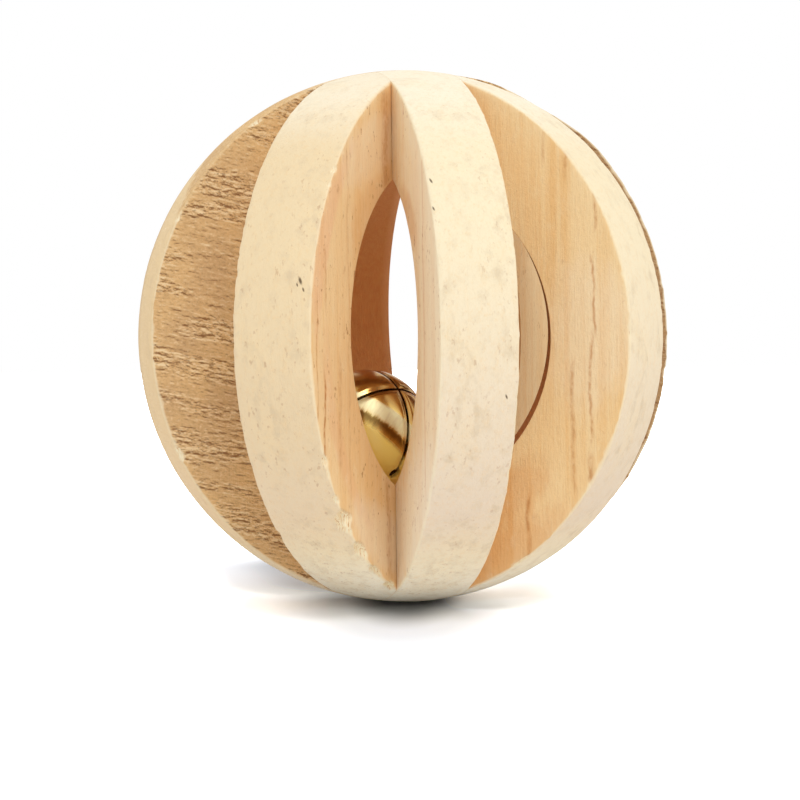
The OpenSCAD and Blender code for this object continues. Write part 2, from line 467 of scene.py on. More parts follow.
def ring_normals(p, closed):
    """Unit normals of a grid whose second direction is a closed loop."""
    across = np.roll(p, -1, 1) - np.roll(p, 1, 1)
    if closed:
        along = np.roll(p, -1, 0) - np.roll(p, 1, 0)
    else:
        along = np.gradient(p, axis=0)
    normal = np.cross(along, across)
    size = np.linalg.norm(normal, axis=-1, keepdims=True)
    return normal / np.maximum(size, 1e-12)


def grid_faces(rows, columns, closed):
    """Quads of a grid of rows by columns whose columns join round, and its rows too
    where it is closed."""
    index = np.arange(rows * columns).reshape(rows, columns)
    if closed:
        index = np.concatenate([index, index[:1]])
    here, there = index[:-1], index[1:]
    quads = np.stack([here, np.roll(here, -1, 1), np.roll(there, -1, 1), there], -1)
    return quads.reshape(-1, 4).tolist()


def end_faces(first, grid, flip):
    """The flat end of a half-ring whose section starts at a point number: strips that join
    the rim to the hole's wall at the same place across, and one side piece at each face."""
    rim = [first + column for column in grid.rim_columns]
    wall = [first + column for column in reversed(grid.wall_columns)]
    faces = list(zip(rim, rim[1:], wall[1:], wall))
    faces.append((wall[0], *range(first, rim[0] + 1)))
    faces.append(tuple(range(rim[-1], wall[-1] + 1)))
    return faces if flip else [face[::-1] for face in faces]


def plain_object(name, data):
    """An object in the scene, at the origin."""
    piece = bpy.data.objects.new(name, data)
    bpy.context.scene.collection.objects.link(piece)
    return piece


def make_mesh(name, points, faces, attributes):
    """A smooth-shaded mesh object with float attributes on its points."""
    mesh = bpy.data.meshes.new(name)
    mesh.from_pydata(points.reshape(-1, 3).tolist(), [], faces)
    for key, values in attributes.items():
        layer = mesh.attributes.new(key, "FLOAT", "POINT")
        layer.data.foreach_set("value", values.astype(np.float32).ravel())
    mesh.polygons.foreach_set("use_smooth", np.ones(len(mesh.polygons), bool))
    mesh.update()
    return plain_object(name, mesh)


# ---------------------------------------------------------------- wear


# Unevenness in millimetres: how deep the torn faces are torn, how the other sawn faces
# swell and how coarse their grain is, how the sanded rim swells and how far that leaves
# it below the turned ball, how deep its pits are, and how the holes' walls swell
TORN_DEPTH = 0.14
FACE_SWELL = 0.03
FACE_GRAIN = 0.012
RIM_SWELL = 0.025
RIM_SINK = 0.03
PIT_DEPTH = 0.02
WALL_SWELL = 0.02

# Rounding of an arris where a neighbour's end is glued on, in millimetres
GLUED_ARRIS_R = 0.03

# Depth of the small nicks along the outer arrises, in millimetres, and on the one arris
# that is worn more, which is given by its board and side
NICK_DEPTH = 0.25
WORN_NICK_DEPTH = 0.45
WORN_ARRIS = ("front_left_half_ring", 1)

# How far the full ring's far side stands proud of the ball, in millimetres
PROUD = 1.25

# Chips broken out of the outer arrises: board, side of the board, height of the
# chip's middle, its half-length and its depth, all in millimetres
CHIPS = [
    ("front_left_half_ring", 1, -19.2, 1.2, 1.5),
    ("front_left_half_ring", 1, -22.3, 0.8, 0.9),
    ("front_left_half_ring", 1, -24.6, 0.4, 0.5),
    ("front_left_half_ring", 1, -27.2, 0.8, 1.2),
    ("front_left_half_ring", 1, -16.6, 0.5, 0.5),
    ("front_left_half_ring", 1, -12.5, 0.5, 0.35),
    ("front_left_half_ring", -1, -8.0, 0.4, 0.4),
    ("front_left_half_ring", -1, 6.5, 0.5, 0.35),
    ("front_left_half_ring", -1, -21.0, 0.7, 0.5),
    ("front_right_half_ring", -1, 16.5, 0.5, 0.35),
    ("front_right_half_ring", 1, -14.0, 0.6, 0.35),
    ("right_half_ring", 1, 19.0, 0.8, 0.6),
    ("right_half_ring", -1, 5.8, 0.35, 0.4),
    ("right_half_ring", -1, -24.5, 0.8, 0.5),
    ("left_half_ring", -1, -12.0, 0.9, 0.7),
    ("back_left_half_ring", 1, 9.0, 0.7, 0.7),
    ("back_right_half_ring", -1, -18.0, 1.0, 0.8),
    ("full_ring", 1, 13.0, 0.6, 0.6),
    ("full_ring", 1, -12.5, 0.8, 0.6),
    ("full_ring", 1, 23.5, 0.5, 0.5),
]


def torn_face(x, z, seed):
    """Two fields of a torn, rough-sawn face: relief, from -1 in a groove to 1 on a
    standing splinter, and torn, how badly the wood is torn there. Both are noise
    stretched along rows that slope down towards the axis: the relief's rows lie near a
    millimetre apart, and torn gathers them in wider bands with smoother ones between."""
    slope = 0.14 + 0.12 * smooth(0, -25, z)
    v = z - slope * x
    v = v + 0.3 * noise(x / 5, v / 4, 0, seed)
    band = noise(x / 11, v / 1.5, 7, seed + 1)
    spread = 0.45 * smooth(2, -20, z)
    torn = 0.45 + 0.55 * smooth(-0.10 - spread, 0.45 - spread, band)
    relief = noise(x / 2.4, v / 0.9, 3, seed) + 0.5 * noise(x / 1.1, v / 0.55, 5, seed)
    return (relief * (1.7 * torn - 0.7)).clip(-1, 1), torn


def arris_radius(board, side, base_r, q, z, seed):
    """Rounding of one outer arris along the ring: the base radius, worn unevenly, and
    almost nothing where a neighbour's end is glued on."""
    wear = 0.35 * noise(z / 4.5, q / 30, side, seed)
    nick = 0.9 * noise(z / 0.7, q / 30, -side, seed) ** 3
    radius = base_r * np.clip(1 + wear + nick, 0.3, 3)
    if not board.cuts:
        return radius
    covered = board.covered_to(side)
    shown = smooth(covered - 0.1, covered + 0.9, np.abs(q))
    return GLUED_ARRIS_R + (radius - GLUED_ARRIS_R) * shown


def face_shown(board, w, q):
    """From 0 where a face is glued against another board to 1 where it is open."""
    if not board.cuts:
        return smooth(0, 1.2, q - board.end_at(w))
    sides = (1,) if board.whole else (-1, 1)
    covered = max(board.covered_to(side) for side in sides)
    return smooth(covered - 0.5, covered + 1, np.abs(q))


def chip_depth(name, board, depth, w, f, q, z, shown, seed):
    """How far each point is cut back inwards and sideways at the chips and at the small
    nicks between them. A chip is a ragged flat across the arris where the distances in
    from the face and from the rim add up to its depth, so a point moves by half of what
    it lacks in both directions."""
    cut = np.zeros_like(w)
    side_cut = np.zeros_like(w)
    for side in (-1, 1):
        from_face = board.half_t - side * w
        from_rim = (1 - f) * depth
        skew = from_face - from_rim
        ragged = noise(z / 1.8, skew, side, seed) + 0.5 * noise(z, skew / 0.6, side, seed)
        worn = noise(z / 4, side, q / 30, seed + 1)
        nick = noise(z / 0.9, side, q / 30, seed + 2)
        size = WORN_NICK_DEPTH if (name, side) == WORN_ARRIS else NICK_DEPTH
        size = size * smooth(0, 0.7, nick) * smooth(-0.5, 0.4, worn)
        for chip_board, chip_side, middle, half_length, chip_size in CHIPS:
            if (chip_board, chip_side) == (name, side):
                near = np.exp(-(((z - middle) / half_length) ** 4)) * (q > 0)
                size = size + chip_size * near
        lacking = size * (0.85 + 0.45 * ragged) * shown - from_face - from_rim
        amount = lacking.clip(0) / 2
        cut += amount
        side_cut += side * amount
    return cut, side_cut


def proud_edge(q, z, f):
    """How far outwards the full ring's far side stands, which was turned less than the
    rest: most of it from below its middle up to its shoulder, and less above that."""
    angle = np.degrees(np.arctan2(z, -q))
    shift = PROUD * smooth(-62, -22, angle) * smooth(82, 70, angle)
    shift = shift * (0.3 + 0.7 * smooth(62, 42, angle))
    return np.where(q < 0, shift, 0) * smooth(0, 1, f)


def plain_ring(board, grid, sizes, seed):
    """Points of a ring before its surfaces are worn: w, f, rim and wall as the section
    gives them, how far out and how high each lies, and the ring's depth at each place."""
    ball_r = sizes.ball_d / 2 / MM
    half_t = board.half_t
    along = full_ring_places(grid) if board.whole else np.linspace(-1, 1, grid.along)
    s = along[:, None]
    face_w = np.full_like(s, half_t)
    rim_q, rim_z = ring_points(board, ball_r, s, face_w, 1)
    hole_q, hole_z = ring_points(board, ball_r, s, face_w, 0)
    depth = np.hypot(rim_q - hole_q, rim_z - hole_z)
    radii = []
    for side in (-1, 1):
        side_q, side_z = ring_points(board, ball_r, s, side * face_w, 1)
        radii.append(arris_radius(board, side, sizes.arris_r / MM, side_q, side_z, seed))
    share = np.linspace(0, 1, grid.rim)
    if len(board.cut_by) == 2:
        place = (board.corner() + half_t) / (2 * half_t)
        share[np.abs(share - place).argmin()] = place
    inner_r = sizes.hole_arris_r / MM
    w, f, rim, wall = section(half_t, depth, radii, inner_r, share[None, 1:-1], grid)
    q, z = ring_points(board, ball_r, s, w, f)
    return w, f, rim, wall, q, z, depth


def build_ring(name, board, sizes, seed):
    """A ring or half-ring as one closed surface, worn and uneven as bare wood is. The
    plain ring's points move along their normals by noise, inwards and sideways at the
    chips, and outwards at the proud edge. (w, q, z) is w n + q u + z up."""
    grid = FULL_RING_GRID if board.whole else HALF_RING_GRID
    w, f, rim, wall, q, z, depth = plain_ring(board, grid, sizes, seed)
    shown = face_shown(board, w, q)
    face = 1 - rim - wall
    fields = {"rim": rim, "wall": wall}
    if board.whole:
        relief, torn = torn_face(np.sign(w) * q, z, seed)
        fields["torn"] = torn * face
        push = TORN_DEPTH / 2 * (relief - 1) * shown * face
    else:
        swell = noise(w / 5, q / 5, z / 9, seed)
        grain = noise(w / 0.5, q / 0.5, z / 6, seed + 1)
        push = (FACE_SWELL * (swell - 1) + FACE_GRAIN * (grain - 1)) * shown * face
    flat = noise(w / 3, q / 4, z / 4, seed + 2)
    pits = noise(w / 0.35, q / 0.6, z / 0.6, seed + 3)
    push += rim * (RIM_SWELL * flat - RIM_SINK - PIT_DEPTH * smooth(0.45, 0.8, pits))
    push += wall * WALL_SWELL * (flat - 1)
    cut, side_cut = chip_depth(name, board, depth, w, f, q, z, shown, seed + 4)
    # The arrises, which the material makes paler as a painted highlight
    fields["arris"] = 4 * rim * (1 - rim) * smooth(0.2, 0.6, shown)
    fields["chip"] = smooth(0.02, 0.12, cut)

    local = np.stack([w, q, z], -1)
    outward = np.stack([0 * q, q, z], -1) / np.hypot(q, z).clip(1e-6)[..., None]
    if board.whole:
        cut = cut - proud_edge(q, z, f)
    local = local + ring_normals(local, board.whole) * push[..., None] - outward * cut[..., None]
    local[..., 0] -= side_cut
    points = local @ np.array([board.across, board.out, (0, 0, 1)]) * MM
    rows, columns = w.shape
    faces = grid_faces(rows, columns, board.whole)
    if not board.whole:
        faces += end_faces(0, grid, False)
        faces += end_faces((rows - 1) * columns, grid, True)
    return make_mesh(name + "_wood", points, faces, fields)


# ---------------------------------------------------------------- bell


# How far the edges of the slits are turned in, over what width, and how they are
# rounded, in millimetres
LIP_DROP = 0.16
LIP_WIDTH = 0.35
LIP_ROUND = 0.1

# Rows of points from the crossing to the end holes, past them and on to the crown, and
# points across one petal
ROWS_TO_HOLE = 70
ROWS_AT_HOLE = 40
ROWS_TO_CROWN = 50
PETAL_POINTS = 46


def bell_matrix(sizes):
    """Turns the bell's own frame, where +Z leaves through the crossing, to how it lies."""
    def about_z(a):
        return np.array([[math.cos(a), -math.sin(a), 0], [math.sin(a), math.cos(a), 0], [0, 0, 1]])

    def about_y(a):
        return np.array([[math.cos(a), 0, math.sin(a)], [0, 1, 0], [-math.sin(a), 0, math.cos(a)]])

    quarter = math.pi / 2
    return (
        about_z(sizes.cross_heading - quarter)
        @ about_y(quarter - sizes.cross_rise)
        @ about_z(sizes.cross_turn)
    )


def petals(sizes):
    """The bell as four petals that join below their end holes. A point is
    r (sin a cos b, sin a sin b, cos a); in each quarter b runs between the two slits,
    which stand off by the slit's half-width, or by the end hole's chord, at that a."""
    radius = sizes.bell_d / 2
    hole_r = sizes.slit_hole_d / 2
    reach = sizes.slit_reach
    hole_span = hole_r / radius
    tip = math.asin(sizes.slit_mid_w / 2 * math.sqrt(2) / radius) * 1.05
    a = np.concatenate([
        np.linspace(tip, reach - hole_span, ROWS_TO_HOLE, endpoint=False),
        reach - hole_span * np.cos(np.linspace(0, math.pi, ROWS_AT_HOLE)),
        np.linspace(reach + hole_span, math.pi, ROWS_TO_CROWN)[1:],
    ])[:, None]
    run = np.clip(np.sin(a) / math.sin(reach), 0, 1)
    half_w = (sizes.slit_mid_w + (sizes.slit_end_w - sizes.slit_mid_w) * run) / 2
    chord = np.sqrt(np.maximum(hole_r**2 - (radius * (a - reach)) ** 2, 0))
    gap = np.maximum(np.where(a < reach, half_w, 0), chord)
    stand_off = np.arcsin(np.clip(gap / (radius * np.sin(a).clip(1e-4)), 0, math.sqrt(0.5)))
    stand_off = np.where(a > reach + hole_span - 1e-9, 0, stand_off)
    quarter = math.pi / 2
    along = np.linspace(0, 1, PETAL_POINTS)
    parts = []
    for start in quarter * np.arange(4):
        b = start + stand_off + (quarter - 2 * stand_off) * along
        edge = radius * np.sin(a) * np.minimum(b - start, start + quarter - b) - gap
        lip = LIP_DROP * MM * np.exp(-((edge / (LIP_WIDTH * MM)) ** 2)) * (gap > 1e-7)
        r = radius - lip
        parts.append(np.stack([r * np.sin(a) * np.cos(b), r * np.sin(a) * np.sin(b), r * np.cos(a)], -1))
    return np.stack(parts)


def build_bell(sizes):
    """The bell's shell: its petals merged into one sheet, which Solidify makes as thick
    as the brass and Bevel rounds at the slits."""
    points = petals(sizes)
    index = np.arange(points[..., 0].size).reshape(points.shape[:3])
    quads = np.stack(
        [index[:, :-1, :-1], index[:, 1:, :-1], index[:, 1:, 1:], index[:, :-1, 1:]], -1
    )
    centre = np.mean(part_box("bell_shell"), axis=0)
    turned = points.reshape(-1, 3) @ bell_matrix(sizes).T
    piece = make_mesh("bell_shell_brass", turned + centre, quads.reshape(-1, 4).tolist(), {})
    bpy.context.view_layer.objects.active = piece
    bpy.ops.object.select_all(action="DESELECT")
    piece.select_set(True)
    bpy.ops.object.mode_set(mode="EDIT")
    bpy.ops.mesh.select_all(action="SELECT")
    bpy.ops.mesh.remove_doubles(threshold=1e-6)
    bpy.ops.mesh.normals_make_consistent(inside=False)
    bpy.ops.object.mode_set(mode="OBJECT")
    wall = piece.modifiers.new("sheet", "SOLIDIFY")
    wall.thickness = sizes.wall
    wall.offset = -1
    round_edge = piece.modifiers.new("lips", "BEVEL")
    round_edge.width = LIP_ROUND * MM
    round_edge.segments = 2
    round_edge.limit_method = "ANGLE"
    round_edge.angle_limit = math.radians(50)
    return piece


# ---------------------------------------------------------------- materials


class Nodes:
    """Short calls that add shader nodes to a new material or world."""

    def __init__(self, owner):
        owner.use_nodes = True
        self.owner = owner
        self.tree = owner.node_tree
        self.tree.nodes.clear()

    def feed(self, socket, value):
        """Links a socket, or sets its value."""
        if isinstance(value, bpy.types.NodeSocket):
            self.tree.links.new(value, socket)
        else:
            socket.default_value = value

    def add(self, kind, inputs=(), **settings):
        """A node with its inputs given in order, or by name in a dictionary."""
        node = self.tree.nodes.new("ShaderNode" + kind)
        for key, value in settings.items():
            setattr(node, key, value)
        named = inputs.items() if isinstance(inputs, dict) else enumerate(inputs)
        for key, value in named:
            self.feed(node.inputs[key], value)
        return node

    def end(self, shader, inputs, kind="Material"):
        """The shader with its inputs, and the output that it feeds."""
        surface = self.add(shader, inputs).outputs[0]
        self.add("Output" + kind, {"Surface": surface})
        return self.owner

    def math(self, operation, *values):
        """One step of arithmetic."""
        return self.add("Math", values, operation=operation).outputs[0]

    def plus(self, first, *others):
        """The sum of some values."""
        for value in others:
            first = self.math("ADD", first, value)
        return first

    def times(self, first, *others):
        """The product of some values."""
        for value in others:
            first = self.math("MULTIPLY", first, value)
        return first

    def squares(self, a, b):
        """a^2 + b^2."""
        return self.plus(self.math("POWER", a, 2), self.math("POWER", b, 2))

    def length(self, a, b):
        """The square root of a^2 + b^2."""
        return self.math("SQRT", self.squares(a, b))

    def mix(self, share, a, b):
        """Mixes two colours."""
        node = self.add("Mix", data_type="RGBA")
        self.feed(node.inputs["Factor"], share)
        for key, value in (("A", a), ("B", b)):
            socket = [s for s in node.inputs if s.name == key and s.type == "RGBA"][0]
            if not isinstance(value, bpy.types.NodeSocket):
                value = (*value[:3], 1)
            self.feed(socket, value)
        return [s for s in node.outputs if s.type == "RGBA"][0]

    def lay(self, colour, *layers):
        """Lays colours over another one in turn, each given with its share."""
        for share, shade in layers:
            colour = self.mix(share, colour, shade)
        return colour

    def attribute(self, name):
        """A float attribute of the piece."""
        return self.add("Attribute", attribute_name=name).outputs["Fac"]

    def place(self):
        """Object coordinates."""
        return self.add("TexCoord").outputs["Object"]

    def split(self, vector):
        """The three parts of a vector."""
        return self.add("SeparateXYZ", (vector,)).outputs

    def span(self, value, low, high, to_low=0, to_high=1):
        """Carries low..high smoothly to to_low..to_high."""
        ends = {"From Min": low, "From Max": high, "To Min": to_low, "To Max": to_high}
        node = self.add("MapRange", {"Value": value, **ends}, interpolation_type="SMOOTHSTEP")
        return node.outputs["Result"]

    def stretch(self, vector, scale, turn=(0, 0, 0), shift=(0, 0, 0)):
        """A vector scaled, then turned, then shifted."""
        inputs = {"Vector": vector, "Location": shift, "Rotation": turn, "Scale": scale}
        return self.add("Mapping", inputs).outputs[0]

    def noise(self, vector, detail=2, roughness=0.5):
        """Noise with one feature about each unit of the vector."""
        inputs = {"Vector": vector, "Scale": 1, "Detail": detail, "Roughness": roughness}
        return self.add("TexNoise", inputs).outputs["Fac"]

    def bump(self, height, strength, distance_mm):
        """Normals roughened by a height."""
        inputs = {"Strength": strength, "Distance": distance_mm * MM, "Height": height}
        return self.add("Bump", inputs).outputs[0]


class Shades(NamedTuple):
    """From 0 to 1, how warm a board's rim and faces are, how dark its hole wall is and
    how flecked its rim is."""

    rim_warmth: float
    face_warmth: float
    wall_burn: float
    flecks: float


BOARD_SHADES = {
    "full_ring": Shades(0.8, 0.5, 1.0, 0.3),
    "front_right_half_ring": Shades(0.1, 0.0, 0.1, 0.6),
    "back_left_half_ring": Shades(0.4, 0.4, 0.75, 0.5),
    "front_left_half_ring": Shades(0.75, 0.45, 0.1, 0.8),
    "right_half_ring": Shades(0.2, 0.15, 0.1, 0.15),
    "back_right_half_ring": Shades(0.3, 0.3, 0.2, 0.5),
    "left_half_ring": Shades(0.5, 0.4, 0.2, 0.5),
}

# Noise in the wood: features to the millimetre across the board, out along it and up,
# then detail and roughness
GRAIN = {
    "broad": ((0.25, 0.25, 0.02), 2, 0.5),
    "layers": ((1.1, 1.1, 0.03), 3, 0.6),
    "fibre": ((5.5, 5.5, 0.5), 3, 0.65),
    "blotch": ((0.2, 0.2, 0.14), 3, 0.5),
    "patch": ((0.75, 0.75, 0.45), 4, 0.65),
    "fuzz": ((2.4, 2.4, 1.9), 4, 0.75),
    "fleck": ((2.3, 2.3, 1.1), 3, 0.6),
    "wander": ((0.05, 0.05, 0.22), 3, 0.5),
    "bead": ((2, 2, 1.1), 2, 0.5),
    "ragged": ((0.9, 0.9, 0.35), 4, 0.6),
}

# Noise of the torn faces in the same way, on directions that lean over by an angle in
# radians, and how many features up it is taken again for the painted light and shade
# on the fibres, which the difference of the two gives
TORN_LEAN = 0.18
FIBRES = ((0.8, 0.5, 2.0), 4, 0.7)
CRUMBS = ((1.5, 1.5, 3.2), 3, 0.7)
EMBOSS_STEP = 0.36

# Radius of the faces' outer edge, from which the patches are measured, in millimetres
FACE_EDGE_R = 29.6

# Pinholes in the rims: board, place across the board, height and radius in millimetres.
# Each is a short slanting dash about twice as long as it is wide.
PINHOLES = [
    ("front_left_half_ring", 3.2, 5.6, 0.24),
    ("front_left_half_ring", 2.9, 5.2, 0.12),
    ("front_left_half_ring", 3.6, 4.7, 0.14),
    ("front_right_half_ring", -3.7, 15.6, 0.16),
    ("front_right_half_ring", -3.9, 12.7, 0.14),
    ("front_right_half_ring", 2.8, -6.2, 0.15),
]

# Soft patches on the boards' faces: board, side, distance in from the rim and its
# half-width, height and its half-length in millimetres, colour and strength. Those in
# the pale painted-light colour are painted light on faces that lie in shade.
PATCHES = [
    ("front_left_half_ring", 1, 1.2, 1.5, 10.0, 11.0, "pink", 0.55),
    ("front_left_half_ring", 1, 3.2, 1.2, -10.0, 12.0, "pink", 0.35),
    ("front_left_half_ring", 1, 8.0, 2.5, 13.0, 5.0, "face_inner", 0.25),
    ("front_left_half_ring", 1, 4.0, 4.0, -22.0, 6.0, "painted_light", 0.25),
    ("front_left_half_ring", 1, 5.0, 5.0, -8.0, 12.0, "face_inner", 0.12),
    ("front_left_half_ring", 1, 4.0, 4.0, 20.0, 5.0, "painted_light", 0.18),
    ("front_right_half_ring", -1, 2.5, 9.0, 2.0, 30.0, "painted_light", 0.42),
    ("front_right_half_ring", -1, 3.0, 9.0, -20.0, 10.0, "painted_light", 0.45),
    ("front_right_half_ring", -1, 7.4, 2.0, 12.5, 4.0, "face_inner", 0.4),
    ("right_half_ring", -1, 4.0, 6.0, 0.0, 9.0, "painted_light", 0.2),
    ("right_half_ring", -1, 1.4, 5.0, -26.5, 9.0, "face_inner", 0.45),
    ("right_half_ring", -1, 7.0, 3.5, -18.5, 6.0, "face_inner", 0.40),
    ("right_half_ring", -1, 13.0, 5.0, 22.0, 6.0, "face_inner", 0.45),
]

# Resin streaks on the boards' faces: board, side of the face, distance out from the
# axis, lower end, upper end, width and strength. Sizes are in millimetres.
STREAKS = [
    ("right_half_ring", -1, 25.0, -11.5, 0.0, 0.30, 0.60),
    ("right_half_ring", -1, 25.0, -16.0, -13.0, 0.60, 0.65),
    ("right_half_ring", -1, 25.4, 0.0, 8.0, 0.26, 0.60),
    ("right_half_ring", -1, 25.7, 11.0, 15.5, 0.30, 0.50),
    ("right_half_ring", -1, 22.9, -16.5, -3.0, 0.40, 0.50),
    ("right_half_ring", -1, 22.4, 16.5, 20.5, 0.40, 0.40),
    ("right_half_ring", -1, 19.8, 18.5, 21.5, 0.30, 0.40),
    ("right_half_ring", -1, 17.5, -24.5, -17.0, 0.40, 0.65),
    ("front_right_half_ring", -1, 23.5, -16.0, 26.0, 0.30, 0.25),
    ("front_left_half_ring", 1, 28.3, -9.0, 4.0, 0.22, 0.50),
    ("front_left_half_ring", 1, 26.8, -16.0, -4.0, 0.30, 0.95),
    ("front_left_half_ring", 1, 23.6, -13.5, -2.0, 0.60, 0.35),
    ("front_left_half_ring", 1, 26.6, 3.0, 9.0, 0.35, 0.40),
    ("front_left_half_ring", 1, 21.6, -26.0, 25.0, 0.35, 0.25),
    ("front_left_half_ring", 1, 13.0, 15.5, 26.0, 1.30, 0.50),
    ("front_left_half_ring", 1, 13.0, -26.0, -15.5, 0.80, 0.40),
]


class Softwood(Nodes):
    """Bare softwood of one board. It is worked out in the board's own directions, in
    millimetres: across it, back against its heading, and up."""

    def __init__(self, name, heading, looks):
        super().__init__(bpy.data.materials.new(name + "_softwood"))
        self.name = name
        self.looks = looks
        self.shades = BOARD_SHADES[name]
        self.local = self.stretch(self.place(), (1 / MM,) * 3, turn=(0, 0, -heading))
        self.across, self.back, self.up = self.split(self.local)
        self.grain = {
            key: self.noise(self.stretch(self.local, scale), detail, roughness)
            for key, (scale, detail, roughness) in GRAIN.items()
        }

    def on_side(self, side):
        """1 on one side of the board, 1 or -1, and 0 on the other."""
        return self.math("GREATER_THAN", self.times(self.across, side), 0)

    def streaks(self):
        """How much resin shows at a point: each streak is a soft line of its width at its
        distance out, wandering a little, faded at both ends, on one side of the board."""
        out = self.math("MULTIPLY_ADD", self.back, -1, -0.8)
        out = self.math("MULTIPLY_ADD", self.grain["wander"], 1.6, out)
        total = 0
        for board, side, q, low, high, width, strength in STREAKS:
            if board != self.name:
                continue
            off = self.math("ABSOLUTE", self.math("SUBTRACT", out, q))
            line = self.times(
                self.span(off, 0, width, strength, 0),
                self.span(self.up, low - 1, low + 1),
                self.span(self.up, high - 1, high + 1, 1, 0),
                self.on_side(side),
            )
            total = self.math("MAXIMUM", total, line)
        return self.times(total, self.span(self.grain["bead"], 0.38, 0.58, 0.45, 1))

    def patches(self):
        """The soft patches of the board, each with its share and colour. A patch is an
        ellipse in height and in distance from the rim, with a ragged edge, on one side."""
        from_rim = self.math("SUBTRACT", FACE_EDGE_R, self.length(self.back, self.up))
        ragged = self.math("MULTIPLY_ADD", self.grain["ragged"], 1.2, -0.6)
        layers = []
        for board, side, inset, half_inset, height, half_height, shade, strength in PATCHES:
            if board != self.name:
                continue
            x = self.math("MULTIPLY_ADD", from_rim, 1 / half_inset, -inset / half_inset)
            y = self.math("MULTIPLY_ADD", self.up, 1 / half_height, -height / half_height)
            off = self.plus(self.squares(x, y), ragged)
            share = self.times(self.span(off, 0.2, 1.2, strength, 0), self.on_side(side))
            layers.append((share, getattr(self.looks, shade)))
        return layers

    def pinholes(self):
        """How dark the pinholes in the rim are at a point, one value for each."""
        holes = []
        for board, hole_across, hole_up, radius in PINHOLES:
            if board != self.name:
                continue
            off_up = self.math("SUBTRACT", self.up, hole_up)
            off_across = self.math("SUBTRACT", self.across, hole_across)
            leaning = self.math("MULTIPLY_ADD", off_up, 0.35, off_across)
            off = self.length(leaning, self.times(off_up, 0.45))
            hole = self.span(off, radius * 0.3, radius, 0.9, 0)
            holes.append(self.times(hole, self.attribute("rim")))
        return holes

    def sawn_face(self):
        """Sawn face: upright growth layers, darker towards the axis with painted shade where
        the boards meet, with soft patches, paler scuffs, resin specks and streaks."""
        looks = self.looks
        flecks = self.shades.flecks
        layers = self.plus(self.times(self.grain["broad"], 0.6), self.times(self.grain["layers"], 0.6))
        specked = self.span(self.grain["blotch"], 0.40, 0.62, 0.25 * flecks, 0.9 * flecks)
        return self.lay(
            looks.face,
            (self.span(layers, 0.50, 0.76, 0, 0.8), looks.face_dark),
            (self.shades.face_warmth, looks.face_warm),
            # Painted shade towards the axis, where the boards meet
            (self.span(self.back, -17.5, -9.0, 0, 0.20), looks.face_inner),
            *self.patches(),
            (self.span(self.grain["fibre"], 0.45, 0.80, 0, 0.14), looks.resin),
            (self.span(self.grain["patch"], 0.50, 0.85, 0, 0.30), looks.rim_pale),
            (self.times(self.span(self.grain["fleck"], 0.62, 0.70), specked), looks.resin),
            (self.streaks(), looks.streak),
        )

    def torn_noise(self, kind, lift=0):
        """Noise of the torn faces, whose directions lean over, taken lift features up."""
        scale, detail, roughness = kind
        leaning = self.stretch(self.local, (1, 1, 1), turn=(TORN_LEAN, 0, 0))
        return self.noise(self.stretch(leaning, scale, shift=(0, 0, lift)), detail, roughness)

    def rough_face(self):
        """Torn face: painted light and shade on its fibres, pale on their lit side and dark on
        their shaded side, crumbly where it is torn badly, and darker at its far edge with
        painted shade."""
        looks = self.looks
        torn = self.attribute("torn")
        fuzz = self.grain["fuzz"]
        # Painted light and shade: the noise less itself taken a step up
        above = self.torn_noise(FIBRES, EMBOSS_STEP)
        emboss = self.times(self.math("SUBTRACT", self.torn_noise(FIBRES), above), torn)
        crumb = self.torn_noise(CRUMBS)
        crumbly = self.span(torn, 0.55, 0.95, 0.25, 1)
        # Painted shade at the far edge of the torn face, near its rim
        edge = self.span(self.length(self.back, self.up), 28.7, 29.7)
        return self.lay(
            looks.rough,
            (self.span(self.grain["blotch"], 0.35, 0.65, 0, 0.45), looks.face_dark),
            (self.span(self.math("ABSOLUTE", self.up), 4, 20, 0, 0.35), looks.face_dark),
            (self.span(fuzz, 0.52, 0.72, 0, 0.30), looks.groove_shade),
            (self.span(fuzz, 0.44, 0.34, 0, 0.45), looks.splinter_and_light),
            (self.span(emboss, 0.01, 0.13, 0, 0.9), looks.splinter_and_light),
            (self.span(emboss, -0.01, -0.12, 0, 0.9), looks.groove_shade),
            (self.times(self.span(crumb, 0.54, 0.64, 0, 0.6), crumbly), looks.splinter_and_light),
            (self.times(self.span(crumb, 0.46, 0.36, 0, 0.65), crumbly), looks.groove_shade),
            (self.times(edge, self.span(self.back, 8, 14, 0, 0.6)), looks.groove_shade),
        )

    def rim(self, rough):
        """Sanded rim: warmer between the poles, with hand-worn smudges, growth layers,
        flecks and pinholes, and with painted light and shade: darker in its lower half and paler
        near the poles and at the bottom. That of the rough-faced ring darkens towards one side
        with painted shade."""
        looks = self.looks
        up = self.up
        blotch = self.grain["blotch"]
        warm_above = self.span(up, 26, 19, 0.4, 1)
        warm_below = self.span(up, -18, -8, 0.7, 1)
        handled = self.times(self.span(blotch, 0.40, 0.60, 0.35, 1), self.span(up, 19, 26, 1, 0.4))
        smudge = self.times(self.span(self.grain["patch"], 0.46, 0.70, 0, 0.50), handled)
        fleck = self.span(self.grain["fleck"], 0.60, 0.70, 0, 0.42 * self.shades.flecks)
